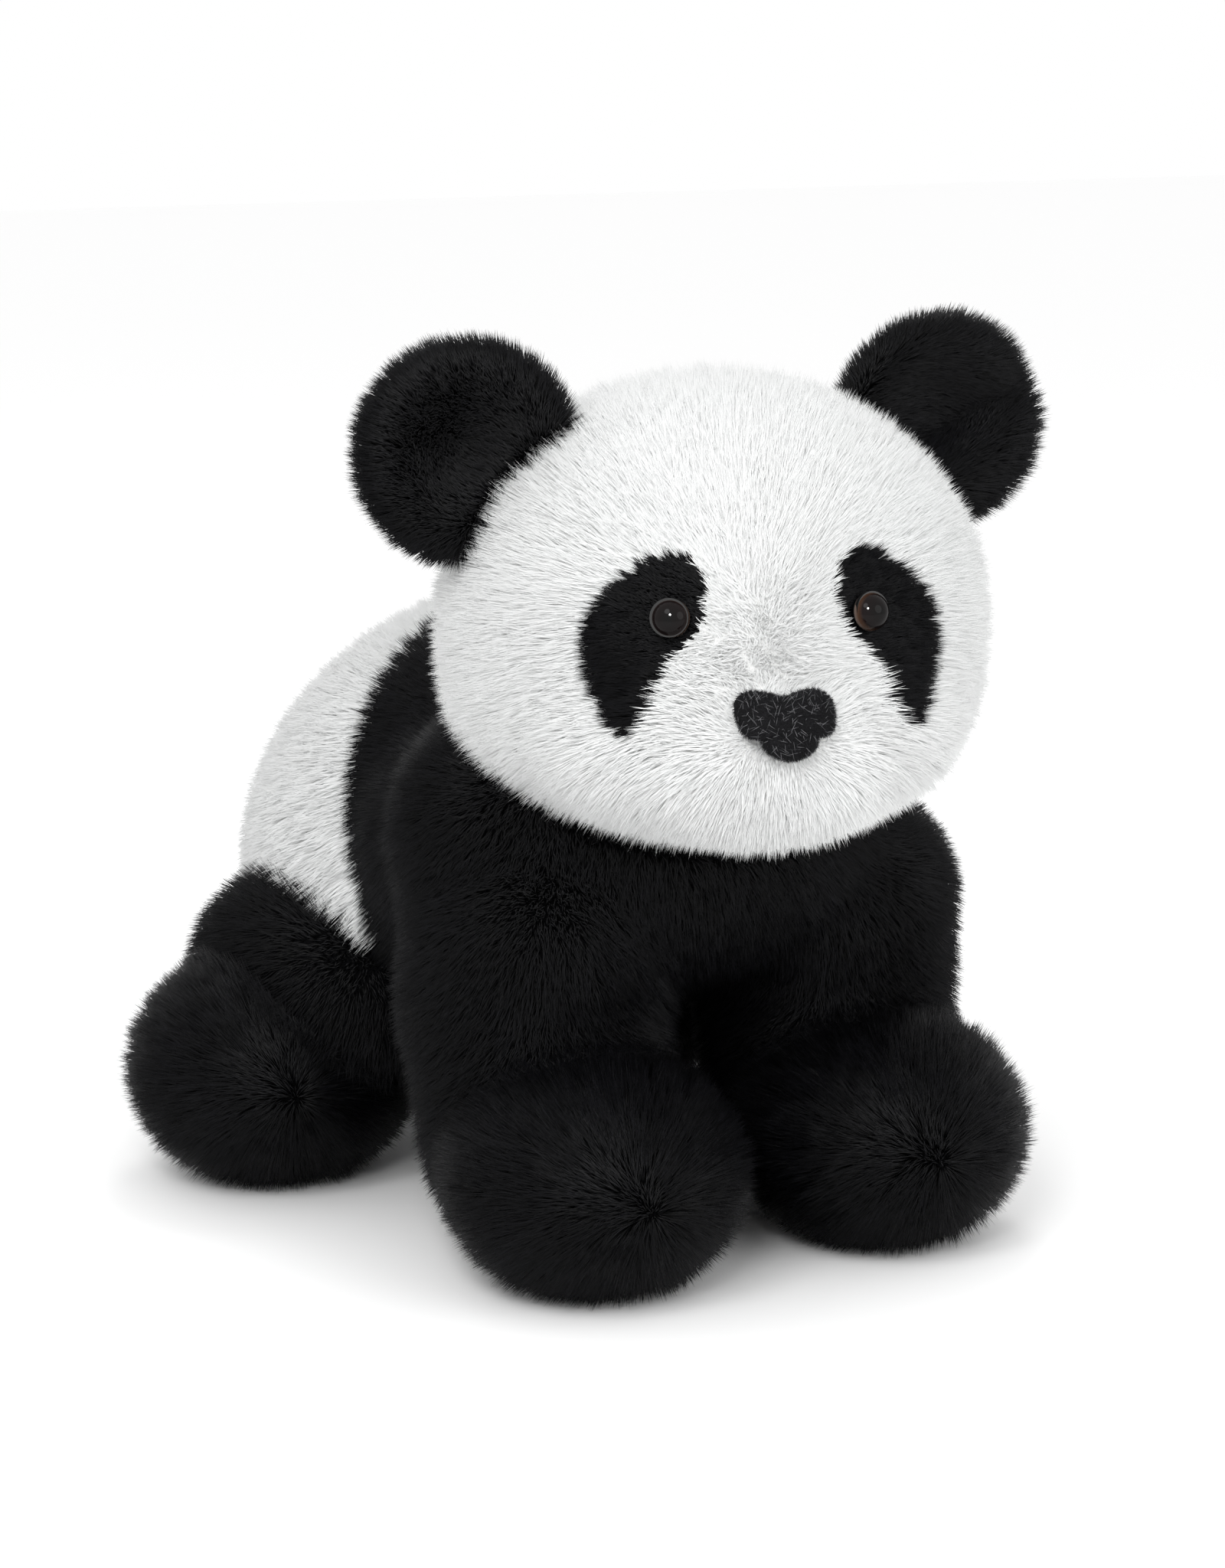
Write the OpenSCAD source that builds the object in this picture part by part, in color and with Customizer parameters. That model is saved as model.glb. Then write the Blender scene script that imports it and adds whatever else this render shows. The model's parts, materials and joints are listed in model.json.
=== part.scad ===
// Plush panda standing on four paws, its head turned to its right.
// Millimetres. The panda faces -Y, its left side is +X, the floor is Z = 0.
// Every outer surface is the tips of the pile, so a cover holds backing and pile.

/* [Fabric] */
// Thickness of a plush cover, backing and pile together
cover_t = 8; // [6:0.5:10]
// Gap between parts that move against each other
joint_gap = 0.6; // [0.4:0.1:1.5]
// Spare room that lets the head nod in its neck seat
nod_room = 3; // [2.5:0.5:5]

/* [Head] */
// Width over the cheeks
head_w = 202; // [168:1:243]
// Depth from brow to nape
head_d = 194; // [162:1:233]
// Height from chin to crown
head_h = 172; // [143:1:207]
// Distance of the head's centre ahead of the trunk's centre
head_ahead = 149; // [141:1:157]
// Turn of the head towards its right shoulder, in degrees
head_turn = 16; // [0:1:25]
// Radius of the stuffed neck
neck_r = 38; // [31:1:46]
// Thickness of the stuffed neck between the head and the torso
neck_t = 9; // [6:1:12]

/* [Muzzle and nose] */
// Width of the muzzle
muzzle_w = 100; // [83:1:120]
// Height of the muzzle
muzzle_h = 72; // [60:1:86]
// Depth of the muzzle's own dome, front to back
muzzle_d = 80; // [68:1:96]
// Distance of the muzzle's centre behind the front of the head
muzzle_in = 21; // [16:1:26]
// Distance of the muzzle's centre below the head's centre
muzzle_down = 36; // [30:1:42]
// Width of the nose
nose_w = 34; // [28:1:41]
// Height of the nose
nose_h = 22; // [18:1:27]
// How far the nose panel lies below the tips of the pile
nose_sink = 2; // [1:0.5:4]

/* [Eyes] */
// Diameter of the domed eye
eye_d = 13; // [10:0.5:16]
// Distance between the centres of the eyes
eye_spacing = 70; // [64:1:78]
// Height of the eyes above the head's centre
eye_up = 13; // [9:1:17]
// Height of the clear dome
dome_h = 5; // [4:0.5:6]
// Thickness of the disc behind the dome
disc_t = 1.5; // [1:0.5:2.5]
// Diameter of the eye's shank
shank_d = 4; // [3:0.5:5]
// Length of the shank behind the disc
shank_l = 15; // [13:1:18]
// Diameter of the washer that locks the shank
washer_d = 14; // [11:1:17]
// Thickness of the washer
washer_t = 1.5; // [1:0.5:2.5]
// Width of the eye patch
patch_w = 34; // [28:1:41]
// Length of the eye patch
patch_l = 62; // [51:1:75]
// Lean of the eye patch, in degrees
patch_lean = 24; // [10:1:35]

/* [Ears] */
// Diameter of the ear
ear_d = 82; // [68:1:98]
// Thickness of the ear, both panels together
ear_t = 26; // [20:1:32]
// How far the ear's centre stands out from the head
ear_out = 12.5; // [10:0.5:18]
// Height of the ear's axis above the horizontal, in degrees
ear_rise = 34; // [25:1:45]
// Distance of the ear behind the head's centre
ear_behind = 15; // [8:1:24]
// Half the angle that the ear folds through, in degrees
ear_fold = 15; // [10:1:18]

/* [Torso] */
// Radius of the trunk
trunk_r = 104; // [87:1:125]
// Half the length of the trunk
trunk_half = 144; // [120:1:173]
// Slope of the back, in degrees
trunk_tilt = 20; // [12:1:26]
// Height of the belly above the floor
belly_gap = 8; // [4:1:20]
// Radius of the shoulders, front to back
chest_r = 63; // [52:1:76]
// Half the width of the shoulders
chest_half = 110; // [92:1:132]
// Distance of the shoulders' centre ahead of the trunk's centre
chest_ahead = 116; // [108:1:124]
// Height of the shoulders' centre
chest_z = 150; // [142:1:158]
// Distance of the black and white seam ahead of the trunk's centre
yoke_seam = 40; // [32:1:52]

/* [Arms] */
// Radius of the rounded shoulder
shoulder_r = 52; // [43:1:63]
// Radius of the sleeve
sleeve_r = 49; // [41:1:52]
// Gap between the two shoulders, inside the chest
arms_gap = 16; // [8:1:24]
// Distance of the shoulder joints ahead of the trunk's centre
shoulder_ahead = 127; // [120:1:134]
// Height of the shoulder joints
shoulder_z = 91; // [86:1:96]
// Gap between the front paws
paw_gap = 18; // [10:1:28]
// Half width, half length and half height of a front paw
paw_r = [53, 52, 43]; // [36:1:64]
// Distance of the front paws ahead of the trunk's centre
paw_ahead = 178; // [168:1:190]

/* [Hind legs] */
// Radius of the rounded hip
hip_r = 50; // [42:1:60]
// Half the distance between the hips
hip_x = 80; // [74:1:86]
// Distance of the hip joints behind the trunk's centre
hip_behind = 6; // [0:1:14]
// Height of the hip joints
hip_z = 76; // [68:1:84]
// Half width, half length and half height of a hind foot
foot_r = [56, 50, 46]; // [38:1:67]
// Half the distance between the hind feet
foot_x = 110; // [103:1:117]
// Distance of the hind feet behind the trunk's centre
foot_behind = -7; // [-16:1:2]
// Half the angle that a hind leg swings through, in degrees
leg_swing = 10; // [6:1:14]

/* [Paws] */
// How much of each paw is pressed flat by the floor
paw_press = 3; // [2:0.5:5]
// Thickness of a sole panel
sole_t = 6; // [4:0.5:8]

/* [Tail] */
// Half width, half length and half height of the tail
tail_r = [20, 20, 17]; // [16:1:24]
// How far the tail's centre stands out from the rump
tail_out = 6; // [2:1:10]
// Room for the tail to wag
tail_room = 3; // [2:0.5:5]

/* [Hidden] */
$fn = 48;
RIGHT = -1;
LEFT = 1;
black = "#141416";
white = "#f2f2ee";
FAR = 400;

head_r = [head_w, head_d, head_h] / 2;
muzzle_ahead = head_r.y - muzzle_in;
trunk_z = trunk_r + belly_gap;
shoulder_x = shoulder_r + arms_gap / 2;
paw_x = paw_r.x + paw_gap / 2;
// The ear's centre is measured from the head's surface, so that it follows the head's size.
ear_reach = 1 / norm([cos(ear_rise) / head_r.x, sin(ear_rise) / head_r.z]) + ear_out;

// The trunk's centre lies so that the origin is midway between muzzle tip and tail tip.
front_reach = head_ahead + (muzzle_ahead + muzzle_d / 2) * cos(head_turn);
rear_reach = (trunk_half + tail_out) * cos(trunk_tilt) + tail_r.y;
centre_y = (front_reach - rear_reach) / 2;
trunk_at = [0, centre_y, trunk_z];
// The tail grows where the trunk's long axis comes out at the back.
tail_at = trunk_at + [0, cos(trunk_tilt), -sin(trunk_tilt)] * (trunk_half + tail_out);

// The head rests just above the shoulders, in a round seat that it can turn and nod in.
seat_r = max(head_r.x, head_r.y) + nod_room;
seat_h = head_r.z + nod_room;
shoulder_off = norm([shoulder_x, head_ahead - shoulder_ahead]);
// Slope of the seat's surface over the shoulder, which sets how far apart the centres are.
seat_over = min(0.9, shoulder_off / (seat_r + neck_t + shoulder_r));
head_z = shoulder_z + (seat_h + neck_t + shoulder_r + joint_gap) * sqrt(1 - pow(seat_over, 2));
head_at = [0, centre_y - head_ahead, head_z];

muzzle_r = [muzzle_w, muzzle_d, muzzle_h] / 2;
muzzle_at = [0, -muzzle_ahead, -muzzle_down];

eye_r = eye_d / 2;
// The eye's disc sits this far below the tips of the pile, so that the dome reaches them.
eye_seat_r = head_r - [1, 1, 1] * dome_h;
eye_gap = 0.1;

paw_z = paw_r.z - paw_press;
foot_z = foot_r.z - paw_press;
shoulder_y = centre_y - shoulder_ahead;
hip_y = centre_y + hip_behind;
// A foot's swing about its hip carries its middle this far.
foot_carry = norm([hip_behind - foot_behind, hip_z - foot_z]) + abs(foot_r.y - foot_r.z);
foot_room = joint_gap + foot_carry * sin(leg_swing);

function on_ellipsoid(r, x, z) = -r.y * sqrt(max(0.05, 1 - pow(x / r.x, 2) - pow(z / r.z, 2)));

module ellipsoid(r, at = [0, 0, 0], grow = 0) {
    g = r + [1, 1, 1] * grow;
    translate(at) scale([1, g.y / g.x, g.z / g.x]) sphere(r = g.x, $fn = 64);
}

// An ellipse turned about its long axis, which lies along Z.
module spheroid(r, half_length) {
    rotate_extrude($fn = 64) intersection() {
        scale([1, half_length / r]) circle(r);
        translate([0, -FAR / 2]) square(FAR);
    }
}

// Head ---------------------------------------------------------------------

module in_head() { translate(head_at) rotate([0, 0, -head_turn]) children(); }

module head_form(grow = 0) { ellipsoid(head_r, grow = grow); }

module muzzle_form(grow = 0) { ellipsoid(muzzle_r, muzzle_at, grow); }

// Column through the eye patch, open towards the front.
module patch_column(side) {
    translate([side * (eye_spacing / 2 + patch_w / 5), 0, eye_up - patch_l / 8])
        rotate([0, -side * patch_lean, 0]) rotate([90, 0, 0])
            scale([1, patch_l / patch_w, 1]) cylinder(d = patch_w, h = FAR, $fn = 64);
}

// Axes at an eye: +Z points outwards, square to the face.
module at_eye(side) {
    x = side * eye_spacing / 2;
    y = on_ellipsoid(eye_seat_r, x, eye_up);
    n = [x / pow(eye_seat_r.x, 2), y / pow(eye_seat_r.y, 2), eye_up / pow(eye_seat_r.z, 2)];
    translate([x, y, eye_up])
        rotate([0, acos(n.z / norm(n)), atan2(n.y, n.x)]) children();
}

// Space for an eye in the cover and the stuffing.
module eye_space(side) {
    at_eye(side) {
        translate([0, 0, -disc_t - eye_gap]) cylinder(r = eye_r + eye_gap, h = 30);
        translate([0, 0, -disc_t - shank_l - 1])
            cylinder(d = shank_d + 2 * eye_gap, h = shank_l + 2);
    }
}

module washer_space(side) {
    at_eye(side) translate([0, 0, washer_z() - eye_gap])
        cylinder(d = washer_d + 2 * eye_gap, h = washer_t + 2 * eye_gap);
}

function washer_z() = -disc_t - shank_l + 2;

// The opening of the head at the neck.
module neck_bore(grow = 0) { translate([0, 0, -FAR]) cylinder(r = neck_r + grow, h = FAR); }

module head_cover() {
    color(white) in_head() difference() {
        head_form();
        head_form(-cover_t);
        muzzle_form();
        neck_bore();
        for (side = [RIGHT, LEFT]) patch_column(side);
    }
}

module muzzle_cover() {
    color(white) in_head() difference() {
        muzzle_form();
        muzzle_form(-cover_t);
        head_form(-cover_t);
        nose_column();
    }
}

// Outline of the nose: two lobes above a narrower point.
module nose_outline() {
    lobe = nose_h * 0.34;
    for (side = [RIGHT, LEFT]) translate([side * (nose_w / 2 - lobe), nose_h / 2 - lobe]) circle(lobe);
    translate([-nose_w / 2 + lobe, nose_h / 2 - 1.8 * lobe]) square([nose_w - 2 * lobe, 1.6 * lobe]);
    translate([0, -nose_h * 0.12]) circle(nose_h * 0.38);
}

module nose_column() {
    translate([0, 0, muzzle_at.z + muzzle_r.z / 2]) rotate([90, 0, 0])
        linear_extrude(FAR) nose_outline();
}

module nose() {
    color(black) in_head() intersection() {
        nose_column();
        difference() {
            muzzle_form(-nose_sink);
            muzzle_form(-cover_t);
            head_form(-cover_t);
        }
    }
}

module eye_patch(side) {
    color(black) in_head() difference() {
        intersection() {
            head_form();
            patch_column(side);
        }
        head_form(-cover_t);
        muzzle_form();
        eye_space(side);
    }
}

// Clear dome of the eye: a cap as wide as the disc.
module eye_dome(side) {
    ball = (pow(eye_r, 2) + pow(dome_h, 2)) / (2 * dome_h);
    color([0.1, 0.08, 0.07]) in_head() at_eye(side) intersection() {
        translate([0, 0, dome_h - ball]) sphere(r = ball, $fn = 64);
        cylinder(r = eye_r, h = dome_h + 1);
    }
}

// Dark disc behind the dome, with the shank that goes through the cover.
module eye_shank(side) {
    color("black") in_head() at_eye(side) {
        translate([0, 0, -disc_t]) cylinder(r = eye_r, h = disc_t);
        translate([0, 0, -disc_t - shank_l]) cylinder(d = shank_d, h = shank_l);
    }
}

module eye_washer(side) {
    color("gainsboro") in_head() at_eye(side) translate([0, 0, washer_z()]) difference() {
        cylinder(d = washer_d, h = washer_t);
        translate([0, 0, -1]) cylinder(d = shank_d + 0.1, h = washer_t + 2);
    }
}

module head_stuffing() {
    color("white") in_head() difference() {
        union() {
            head_form(-cover_t);
            muzzle_form(-cover_t);
            intersection() {
                head_form();
                neck_bore();
            }
        }
        for (side = [RIGHT, LEFT]) {
            eye_space(side);
            washer_space(side);
        }
    }
}

// Round seat of the head; it is the same at any turn of the head.
module head_seat(grow = 0) { translate(head_at) ellipsoid([seat_r, seat_r, seat_h], grow = grow); }

module neck_stuffing() {
    color("white") difference() {
        intersection() {
            head_seat(neck_t);
            translate(head_at) neck_bore();
        }
        head_seat();
    }
}

// Ears -------------------------------------------------------------------------

// Axes at an ear's middle: +X along the hinge, +Z away from the head, -Y its front.
module at_ear(side) {
    translate([side * ear_reach * cos(ear_rise), ear_behind, ear_reach * sin(ear_rise)])
        rotate([0, side * (90 - ear_rise), 0]) children();
}

module ear_half(side, face) {
    room = joint_gap + ear_t / 2 * sin(ear_fold);
    color(black) in_head() difference() {
        at_ear(side) difference() {
            ellipsoid([ear_d, ear_t, ear_d] / 2);
            translate([-FAR, face > 0 ? -FAR : 0, -FAR]) cube([2 * FAR, FAR, 2 * FAR]);
            if (face < 0) translate([0, -ear_t * 1.35, ear_d * 0.05]) sphere(r = ear_t * 1.05);
        }
        head_form(room);
    }
}

// Torso ------------------------------------------------------------------------

module torso_form(grow = 0) {
    translate(trunk_at) rotate([90 - trunk_tilt, 0, 0]) spheroid(trunk_r + grow, trunk_half + grow);
    translate([0, centre_y - chest_ahead, chest_z]) rotate([0, 90, 0])
        spheroid(chest_r + grow, chest_half + grow);
}

// Everything that the torso leaves free for the parts that move against it.
module moving_space() {
    head_seat();
    intersection() {
        head_seat(neck_t + joint_gap);
        translate(head_at) neck_bore(joint_gap);
    }
    for (side = [RIGHT, LEFT]) {
        translate([side * shoulder_x, shoulder_y, shoulder_z]) sphere(r = shoulder_r + joint_gap);
        hip_form(side, joint_gap);
        ellipsoid(foot_r, foot_at(side), foot_room);
    }
    below_the_shoulders();
    ellipsoid(tail_r, tail_at, tail_room);
}

// Free corner ahead of the belly, where the sleeves swing.
module below_the_shoulders() {
    translate([-FAR, shoulder_y + shoulder_r + joint_gap - FAR, shoulder_z - FAR]) cube([2 * FAR, FAR, FAR]);
}

// Half space ahead of the seam between black and white, or behind it.
module ahead_of_seam(ahead) {
    translate([-FAR, centre_y - yoke_seam - (ahead ? 2 * FAR : 0), -FAR]) cube(2 * FAR);
}

module torso_cover(ahead) {
    color(ahead ? black : white) difference() {
        torso_form();
        ahead_of_seam(!ahead);
        torso_form(-cover_t);
        moving_space();
    }
}

module torso_stuffing() {
    color("white") difference() {
        torso_form(-cover_t);
        moving_space();
    }
}

// Arms -------------------------------------------------------------------------

function paw_at(side) = [side * paw_x, centre_y - paw_ahead, paw_z];

// Sleeve from the shoulder down into the paw, turned about its own axis.
module sleeve_form(side, grow = 0) {
    from = [side * shoulder_x, shoulder_y, shoulder_z];
    way = [side * paw_x, (paw_at(side).y + 2 * shoulder_y) / 3, paw_z + 6] - from;
    translate(from) rotate([0, acos(way.z / norm(way)), atan2(way.y, way.x)])
        rotate_extrude($fn = 64) intersection() {
            union() {
                circle(shoulder_r + grow);
                translate([0, norm(way)]) circle(sleeve_r + 1 + grow);
                translate([0, 0]) square([sleeve_r + grow, norm(way)]);
            }
            translate([0, -FAR / 2]) square(FAR);
        }
}

// Everything below a height.
module below(z) { translate([-FAR, -FAR, z - 2 * FAR]) cube(2 * FAR); }

// Layer that holds the soles.
module sole_layer() { translate([-FAR, -FAR, 0]) cube([2 * FAR, 2 * FAR, sole_t]); }

// The cover of a paw or foot is open where the limb's stuffing comes in, and at its sole.
module pad_cover(r, at) {
    color(black) difference() {
        ellipsoid(r, at);
        ellipsoid(r, at, -cover_t);
        below(sole_t);
        children();
    }
}

module pad_sole(r, at) {
    color(black) intersection() {
        ellipsoid(r, at);
        sole_layer();
    }
}

module pad_stuffing(r, at) {
    color("white") difference() {
        ellipsoid(r, at, -cover_t);
        below(sole_t);
    }
}

module sleeve(side) {
    color(black) difference() {
        sleeve_form(side);
        sleeve_form(side, -cover_t);
        ellipsoid(paw_r, paw_at(side));
        below(0);
    }
}

module sleeve_stuffing(side) {
    color("white") difference() {
        sleeve_form(side, -cover_t);
        ellipsoid(paw_r, paw_at(side), -cover_t);
        below(sole_t);
    }
}

module paw_cover(side) { pad_cover(paw_r, paw_at(side)) sleeve_form(side, -cover_t); }

module paw_sole(side) { pad_sole(paw_r, paw_at(side)); }

module paw_stuffing(side) { pad_stuffing(paw_r, paw_at(side)); }

// Hind legs --------------------------------------------------------------------

function foot_at(side) = [side * foot_x, centre_y + foot_behind, foot_z];

module hip_form(side, grow = 0) {
    translate([side * hip_x, hip_y, hip_z]) sphere(r = hip_r + grow, $fn = 64);
}

module haunch(side) {
    color(black) difference() {
        hip_form(side);
        hip_form(side, -cover_t);
        ellipsoid(foot_r, foot_at(side));
    }
}

module haunch_stuffing(side) {
    color("white") difference() {
        hip_form(side, -cover_t);
        ellipsoid(foot_r, foot_at(side), -cover_t);
    }
}

module foot_cover(side) { pad_cover(foot_r, foot_at(side)) hip_form(side, -cover_t); }

module foot_sole(side) { pad_sole(foot_r, foot_at(side)); }

module foot_stuffing(side) { pad_stuffing(foot_r, foot_at(side)); }

// Tail -------------------------------------------------------------------------

module tail_cover() {
    color(white) difference() {
        ellipsoid(tail_r, tail_at);
        ellipsoid(tail_r, tail_at, -cover_t);
    }
}

module tail_stuffing() { color("white") ellipsoid(tail_r, tail_at, -cover_t); }

head_cover();
muzzle_cover();
nose();
head_stuffing();
neck_stuffing();
eye_patch(RIGHT);  // right_eye_patch
eye_patch(LEFT);  // left_eye_patch
eye_dome(RIGHT);  // right_eye_dome
eye_dome(LEFT);  // left_eye_dome
eye_shank(RIGHT);  // right_eye_shank
eye_shank(LEFT);  // left_eye_shank
eye_washer(RIGHT);  // right_eye_washer
eye_washer(LEFT);  // left_eye_washer
ear_half(RIGHT, -1);  // right_ear_front
ear_half(LEFT, -1);  // left_ear_front
ear_half(RIGHT, 1);  // right_ear_back
ear_half(LEFT, 1);  // left_ear_back
torso_cover(true);  // shoulder_cover
torso_cover(false);  // back_cover
torso_stuffing();
sleeve(RIGHT);  // right_sleeve
sleeve(LEFT);  // left_sleeve
sleeve_stuffing(RIGHT);  // right_sleeve_stuffing
sleeve_stuffing(LEFT);  // left_sleeve_stuffing
paw_cover(RIGHT);  // right_paw_cover
paw_cover(LEFT);  // left_paw_cover
paw_sole(RIGHT);  // right_paw_sole
paw_sole(LEFT);  // left_paw_sole
paw_stuffing(RIGHT);  // right_paw_stuffing
paw_stuffing(LEFT);  // left_paw_stuffing
haunch(RIGHT);  // right_haunch
haunch(LEFT);  // left_haunch
haunch_stuffing(RIGHT);  // right_haunch_stuffing
haunch_stuffing(LEFT);  // left_haunch_stuffing
foot_cover(RIGHT);  // right_foot_cover
foot_cover(LEFT);  // left_foot_cover
foot_sole(RIGHT);  // right_foot_sole
foot_sole(LEFT);  // left_foot_sole
foot_stuffing(RIGHT);  // right_foot_stuffing
foot_stuffing(LEFT);  // left_foot_stuffing
tail_cover();
tail_stuffing();
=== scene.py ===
import json
import math

import bmesh
import bpy
import numpy as np
from mathutils import Matrix, Vector

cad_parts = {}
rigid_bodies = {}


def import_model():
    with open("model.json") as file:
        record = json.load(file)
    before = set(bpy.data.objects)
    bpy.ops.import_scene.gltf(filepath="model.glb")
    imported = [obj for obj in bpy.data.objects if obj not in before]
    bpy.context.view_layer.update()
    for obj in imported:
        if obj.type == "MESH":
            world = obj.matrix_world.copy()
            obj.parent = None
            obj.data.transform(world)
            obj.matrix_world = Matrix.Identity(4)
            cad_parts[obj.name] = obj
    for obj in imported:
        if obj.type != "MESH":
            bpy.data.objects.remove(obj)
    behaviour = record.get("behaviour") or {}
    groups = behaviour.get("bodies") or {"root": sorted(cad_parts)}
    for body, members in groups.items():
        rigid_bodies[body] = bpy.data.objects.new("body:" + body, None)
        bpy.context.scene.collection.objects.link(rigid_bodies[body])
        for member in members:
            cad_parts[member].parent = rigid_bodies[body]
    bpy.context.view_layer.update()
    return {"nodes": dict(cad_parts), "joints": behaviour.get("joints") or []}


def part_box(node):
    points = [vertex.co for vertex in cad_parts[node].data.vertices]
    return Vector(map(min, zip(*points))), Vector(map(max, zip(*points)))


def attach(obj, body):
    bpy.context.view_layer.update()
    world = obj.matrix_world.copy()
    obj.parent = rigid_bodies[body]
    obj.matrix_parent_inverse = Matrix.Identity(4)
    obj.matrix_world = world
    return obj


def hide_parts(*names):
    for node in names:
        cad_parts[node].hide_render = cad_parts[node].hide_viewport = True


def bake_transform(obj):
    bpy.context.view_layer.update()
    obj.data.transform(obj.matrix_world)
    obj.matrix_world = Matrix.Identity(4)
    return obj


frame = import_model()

# A plush panda: sewn skins stuffed with fibre, and a pile of separate strands on every panel.
# Metres, as in the frame: the panda faces -Y, its left side is +X, the floor is Z = 0.

MM = 0.001
SIDES = {"right": -1.0, "left": 1.0}
JOINTS = {j["name"]: j for j in frame["joints"]}

# How far the backing lies under the tips of the pile
BACKING = 6.5 * MM
# Edge of the faces in a finished skin
WEAVE = 2.6 * MM
# Strands lower than this are bent flat on the floor
FLAT_ON_FLOOR = 0.3 * MM

HEAD = Vector(JOINTS["head_turn"]["pos_m"])
NOD_AXIS = JOINTS["head_nod"]["axis"]
HEAD_TURN = math.atan2(NOD_AXIS[1], NOD_AXIS[0])
HEAD_RADII = np.array((101, 97, 86)) * MM
MUZZLE_AT = np.array((0, -76, -36)) * MM
MUZZLE_RADII = np.array((50, 40, 36)) * MM
EYE_AT = np.array((35, 0, 13)) * MM
EYE_RADIUS = 6.5 * MM
SEAT_RADII = HEAD_RADII[[0, 0, 2]] + 3 * MM

SHOULDER = Vector(JOINTS["left_shoulder"]["pos_m"])
HIP = Vector(JOINTS["left_hip"]["pos_m"])
SHOULDER_R = 52 * MM
PAW_AT, PAW_RADII = np.array((62, 0, 40)) * MM, np.array((53, 52, 43)) * MM
FOOT_AT, FOOT_RADII = np.array((110, 0, 43)) * MM, np.array((56, 50, 46)) * MM
PAW_AT[1] = sum(c[1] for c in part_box("left_paw_sole")) / 2
FOOT_AT[1] = sum(c[1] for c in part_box("left_foot_sole")) / 2

TRUNK_TILT = math.radians(20)
TRUNK_RADII = np.array((104, 144, 104)) * MM
TRUNK = Vector((0, HIP.y - 6 * MM, 112 * MM))
CHEST_RADII = np.array((110, 63, 63)) * MM
CHEST = Vector((0, TRUNK.y - 116 * MM, 150 * MM))
YOKE_SEAM = TRUNK.y - 40 * MM
TAIL_RADII = np.array((20, 20, 17)) * MM
TAIL = sum((Vector(c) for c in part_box("tail_cover")), Vector()) / 2


# Shapes -----------------------------------------------------------------------------------------

def turned(angle, axis):
    return np.array(Matrix.Rotation(angle, 3, axis))


HEAD_MATRIX = turned(HEAD_TURN, "Z")


def to_head(points):
    """The points in the head's own frame, where it faces -Y."""
    return (points - np.array(HEAD)) @ HEAD_MATRIX


def from_head(points):
    return np.asarray(points) @ HEAD_MATRIX.T + np.array(HEAD)


def ball(mesh, centre, radii, turn=np.eye(3), level=5):
    """Adds an ellipsoid to a mesh being built."""
    made = bmesh.ops.create_icosphere(mesh, subdivisions=level, radius=1.0)
    for v in made["verts"]:
        v.co = Vector(turn @ (np.array(v.co) * radii)) + Vector(centre)


def tube(mesh, start, end, radius):
    """Adds a round-ended tube, as a row of balls joined by the remesh."""
    start, end = Vector(start), Vector(end)
    for t in np.linspace(0, 1, 9):
        ball(mesh, start.lerp(end, t), (radius,) * 3, level=4)


def box_between(mesh, low, high):
    """Adds a box to a mesh being built."""
    made = bmesh.ops.create_cube(mesh, size=1.0)
    for v in made["verts"]:
        v.co = Vector([a + (b - a) * (c + 0.5) for a, b, c in zip(low, high, v.co)])


def object_of(name, mesh):
    data = bpy.data.meshes.new(name)
    mesh.to_mesh(data)
    mesh.free()
    piece = bpy.data.objects.new(name, data)
    bpy.context.scene.collection.objects.link(piece)
    return piece


def apply_modifiers(piece):
    """Turns a piece with modifiers into a plain mesh of its own."""
    graph = bpy.context.evaluated_depsgraph_get()
    data = bpy.data.meshes.new_from_object(piece.evaluated_get(graph))
    piece.modifiers.clear()
    old, piece.data = piece.data, data
    bpy.data.meshes.remove(old)
    data.name = piece.name
    return piece


def positions(piece):
    co = np.empty(len(piece.data.vertices) * 3, np.float32)
    piece.data.vertices.foreach_get("co", co)
    return co.reshape(-1, 3).astype(float)


def move_to(piece, points):
    piece.data.vertices.foreach_set("co", points.astype(np.float32).ravel())
    piece.data.update()


def normals(piece):
    n = np.empty(len(piece.data.vertices) * 3, np.float32)
    piece.data.vertices.foreach_get("normal", n)
    return n.reshape(-1, 3).astype(float)


def finish_skin(skin, rounding, weave=WEAVE):
    """Joins everything in a skin into one closed surface, with its creases rounded."""
    remesh = skin.modifiers.new("weave", "REMESH")
    remesh.mode = "VOXEL"
    remesh.voxel_size = weave
    smooth = skin.modifiers.new("rounding", "SMOOTH")
    smooth.iterations = rounding
    apply_modifiers(skin)
    for face in skin.data.polygons:
        face.use_smooth = True
    return skin


def hollow(skin, cuts):
    """Takes rounded hollows out of a skin and leaves it closed."""
    mesh = bmesh.new()
    for cut in cuts:
        cut(mesh)
    cutter = finish_skin(object_of("hollow_maker", mesh), 0)
    cut_out = skin.modifiers.new("hollow", "BOOLEAN")
    cut_out.operation = "DIFFERENCE"
    cut_out.solver = "EXACT"
    cut_out.object = cutter
    finish_skin(skin, 4)
    bpy.data.objects.remove(cutter)
    return skin


def sewn(name, adds, cuts=(), rounding=14):
    """One closed skin round all the added shapes, hollowed by the cuts."""
    mesh = bmesh.new()
    for add in adds:
        add(mesh)
    skin = finish_skin(object_of(name, mesh), rounding)
    return hollow(skin, cuts) if cuts else skin


def inside_polygon(x, y, outline):
    """Which of the points lie inside a closed outline."""
    inside = np.zeros(len(x), bool)
    for (ax, ay), (bx, by) in zip(outline, outline[1:] + outline[:1]):
        crosses = (ay > y) != (by > y)
        inside ^= crosses & (x < (bx - ax) * (y - ay) / (by - ay + 1e-12) + ax)
    return inside


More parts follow.
